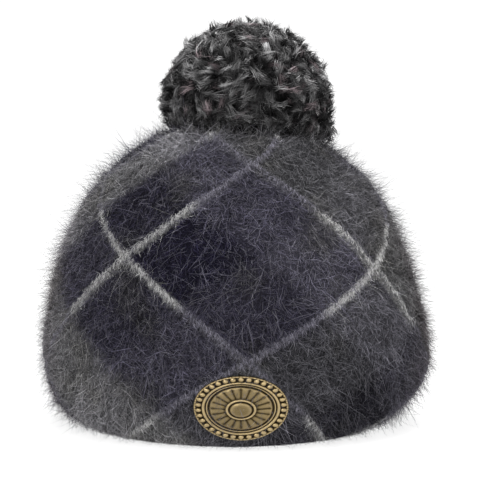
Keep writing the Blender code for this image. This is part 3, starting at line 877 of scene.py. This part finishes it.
def knit_material():
    """The knit under the nap: the check, with the V of each stitch in relief, and painted shade in the
    hollows between the stitches.
    """
    material, nodes, links, shader = new_material("knit")
    uv = nodes.new("ShaderNodeUVMap")
    uv.uv_map = "stitches"
    split = nodes.new("ShaderNodeSeparateXYZ")
    links.new(uv.outputs["UV"], split.inputs[0])

    def math_node(kind, a, b=None):
        node = nodes.new("ShaderNodeMath")
        node.operation = kind
        for socket, value in zip(node.inputs, (a, b)):
            if value is None:
                continue
            if isinstance(value, (int, float)):
                socket.default_value = value
            else:
                links.new(value, socket)
        return node.outputs[0]

    from_middle = math_node("ABSOLUTE", math_node("SUBTRACT", math_node("FRACT", split.outputs[0]), 0.5))
    slanted = math_node("ADD", split.outputs[1], math_node("MULTIPLY", from_middle, 1.6))
    loop = math_node("ABSOLUTE", math_node("SINE", math_node("MULTIPLY", slanted, math.pi)))
    leg = math_node("SINE", math_node("MULTIPLY", from_middle, 2 * math.pi))
    stitch = math_node("MULTIPLY", math_node("ABSOLUTE", leg), loop)
    noise = nodes.new("ShaderNodeTexNoise")
    noise.inputs["Scale"].default_value = 900
    noise.inputs["Detail"].default_value = 3
    height = math_node("ADD", stitch, math_node("MULTIPLY", noise.outputs["Fac"], 0.5))
    bump = nodes.new("ShaderNodeBump")
    bump.inputs["Strength"].default_value = 0.6
    bump.inputs["Distance"].default_value = 0.0006
    links.new(height, bump.inputs["Height"])
    links.new(bump.outputs["Normal"], shader.inputs["Normal"])
    # Painted shade: the yarn colour is darkened in the hollows between the stitches' loops and legs
    shade = nodes.new("ShaderNodeMix")
    shade.data_type = "RGBA"
    shade.blend_type = "MULTIPLY"
    shade.inputs[0].default_value = 0.45
    links.new(yarn_colour(nodes), shade.inputs["A"])
    links.new(stitch, shade.inputs["B"])
    links.new(shade.outputs["Result"], shader.inputs["Base Color"])
    shader.inputs["Roughness"].default_value = 0.95
    shader.inputs["Specular IOR Level"].default_value = 0.1
    return material


def brass_material():
    """Antiqued brass: dark brown in the hollows, rubbed bright on the high spots."""
    material, nodes, links, shader = new_material("antique_brass")
    noise = nodes.new("ShaderNodeTexNoise")
    noise.inputs["Scale"].default_value = 420
    noise.inputs["Detail"].default_value = 6
    wear = nodes.new("ShaderNodeMath")
    wear.operation = "MULTIPLY_ADD"
    wear.inputs[1].default_value = 0.45
    links.new(noise.outputs["Fac"], wear.inputs[0])
    links.new(yarn_colour(nodes), wear.inputs[2])
    ramp = nodes.new("ShaderNodeValToRGB")
    ramp.color_ramp.elements[0].position = 0.30
    ramp.color_ramp.elements[0].color = (0.018, 0.013, 0.007, 1)
    ramp.color_ramp.elements[1].position = 1.0
    ramp.color_ramp.elements[1].color = (0.43, 0.33, 0.175, 1)
    middle = ramp.color_ramp.elements.new(0.68)
    middle.color = (0.125, 0.092, 0.042, 1)
    links.new(wear.outputs[0], ramp.inputs["Fac"])
    links.new(ramp.outputs["Color"], shader.inputs["Base Color"])
    rough = nodes.new("ShaderNodeMapRange")
    rough.inputs["To Min"].default_value = 0.26
    rough.inputs["To Max"].default_value = 0.50
    links.new(noise.outputs["Fac"], rough.inputs["Value"])
    links.new(rough.outputs["Result"], shader.inputs["Roughness"])
    shader.inputs["Metallic"].default_value = 1.0
    bump = nodes.new("ShaderNodeBump")
    bump.inputs["Strength"].default_value = 0.25
    bump.inputs["Distance"].default_value = 0.0002
    links.new(noise.outputs["Fac"], bump.inputs["Height"])
    links.new(bump.outputs["Normal"], shader.inputs["Normal"])
    return material


def steel_material():
    material, nodes, links, shader = new_material("clasp_steel")
    noise = nodes.new("ShaderNodeTexNoise")
    noise.inputs["Scale"].default_value = 700
    ramp = nodes.new("ShaderNodeValToRGB")
    ramp.color_ramp.elements[0].color = (0.30, 0.29, 0.28, 1)
    ramp.color_ramp.elements[1].color = (0.52, 0.51, 0.49, 1)
    links.new(noise.outputs["Fac"], ramp.inputs["Fac"])
    links.new(ramp.outputs["Color"], shader.inputs["Base Color"])
    shader.inputs["Metallic"].default_value = 1.0
    shader.inputs["Roughness"].default_value = 0.38
    return material


# Camera, floor and light

def build_camera():
    camera = bpy.data.objects.new("camera", bpy.data.cameras.new("camera"))
    bpy.context.scene.collection.objects.link(camera)
    rise = math.radians(CAMERA_ELEVATION_DEG)
    camera.location = (CAMERA_SIDE, -CAMERA_DISTANCE * math.cos(rise), CAMERA_DISTANCE * math.sin(rise))
    camera.rotation_euler = (math.radians(90 - CAMERA_PITCH_DEG), 0, 0)
    camera.data.lens = CAMERA_LENS
    camera.data.sensor_width = 36
    bpy.context.scene.camera = camera


def area_light(name, place, aim, size, power):
    light = bpy.data.lights.new(name, "AREA")
    light.size = size
    light.energy = power
    item = bpy.data.objects.new(name, light)
    item.location = place
    item.rotation_euler = (Vector(aim) - Vector(place)).to_track_quat("-Z", "Y").to_euler()
    bpy.context.scene.collection.objects.link(item)


def build_stage():
    bpy.ops.mesh.primitive_plane_add(size=FLOOR_SIZE, location=(0, 0, -FLOOR_DROP))
    floor = bpy.context.object
    floor.name = "floor"
    material, _, _, shader = new_material("pale_floor")
    shader.inputs["Base Color"].default_value = (FLOOR_GREY, FLOOR_GREY, FLOOR_GREY, 1)
    shader.inputs["Emission Color"].default_value = (1, 1, 1, 1)
    shader.inputs["Emission Strength"].default_value = FLOOR_GLOW
    shader.inputs["Roughness"].default_value = 0.9
    floor.data.materials.append(material)
    world = bpy.data.worlds.new("studio")
    world.use_nodes = True
    world.node_tree.nodes["Background"].inputs["Color"].default_value = (1, 1, 1, 1)
    world.node_tree.nodes["Background"].inputs["Strength"].default_value = STUDIO_LIGHT
    bpy.context.scene.world = world
    bpy.context.scene.view_settings.view_transform = "Standard"
    aim = (0, 0, 0.11)
    area_light("key", (-0.7, -1.1, 1.3), aim, 0.7, 12)
    area_light("fill", (1.1, -0.9, 0.7), aim, 0.9, 4)
    area_light("top", (0.1, 0.2, 1.5), aim, 0.9, 24)


def main():
    build_camera()
    build_stage()
    fur = fibre_material("brushed_fibre", 0.75, 0.01)
    pile = fibre_material("curly_pile", 0.65, 0.01)
    brass = brass_material()
    grid, arc = build_crown()
    build_nap(grid, arc, fur)
    build_lines(grid, arc, fur)
    build_halo(grid, arc, fur)
    build_pompom(pile)
    build_badge(brass)
    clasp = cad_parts["badge_clasp"]
    clasp.data.materials.clear()
    clasp.data.materials.append(steel_material())


main()
